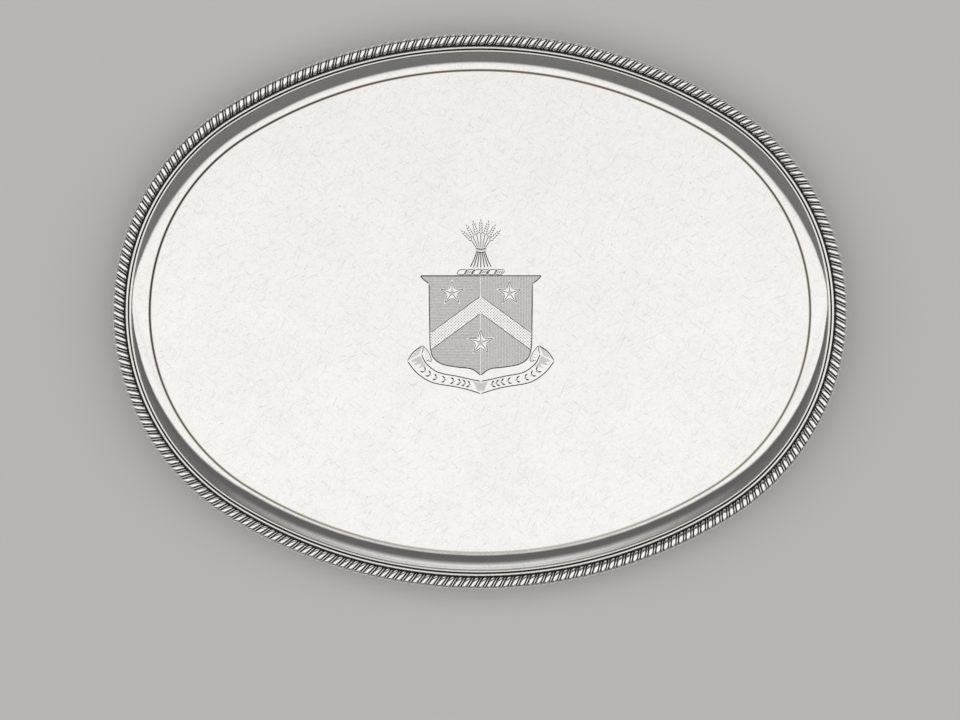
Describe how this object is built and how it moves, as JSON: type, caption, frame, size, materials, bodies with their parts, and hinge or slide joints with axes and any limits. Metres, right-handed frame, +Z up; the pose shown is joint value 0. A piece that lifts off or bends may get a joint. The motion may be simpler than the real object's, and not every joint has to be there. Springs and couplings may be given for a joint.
{
  "type": "oval salver",
  "caption": "Oval silver salver with a gadrooned border, a raised hollow side, a flat engraved plate and four low bracket feet.",
  "frame": {"origin": "on the surface the salver stands on, midway between its four feet", "axes": "+Z up, X along the oval's long axis, Y along its short axis, with the engraved device upright towards +Y"},
  "size_m": [0.4064, 0.3076, 0.0256],
  "materials": {
    "silver_sheet": "hand-polished sterling silver sheet with fine wear scratches and an engraved device",
    "silver_wire": "polished drawn silver wire",
    "silver_border": "polished cast silver, darkened in its recesses",
    "silver_feet": "polished cast silver"
  },
  "bodies": {
    "root": {"plate": "silver_sheet", "reeded_wire": "silver_wire", "gadroon_section_1": "silver_border", "gadroon_section_2": "silver_border", "gadroon_section_3": "silver_border", "gadroon_section_4": "silver_border", "gadroon_section_5": "silver_border", "gadroon_section_6": "silver_border", "gadroon_section_7": "silver_border", "gadroon_section_8": "silver_border", "foot_rear_right": "silver_feet", "foot_rear_left": "silver_feet", "foot_front_left": "silver_feet", "foot_front_right": "silver_feet"}
  },
  "joints": []
}
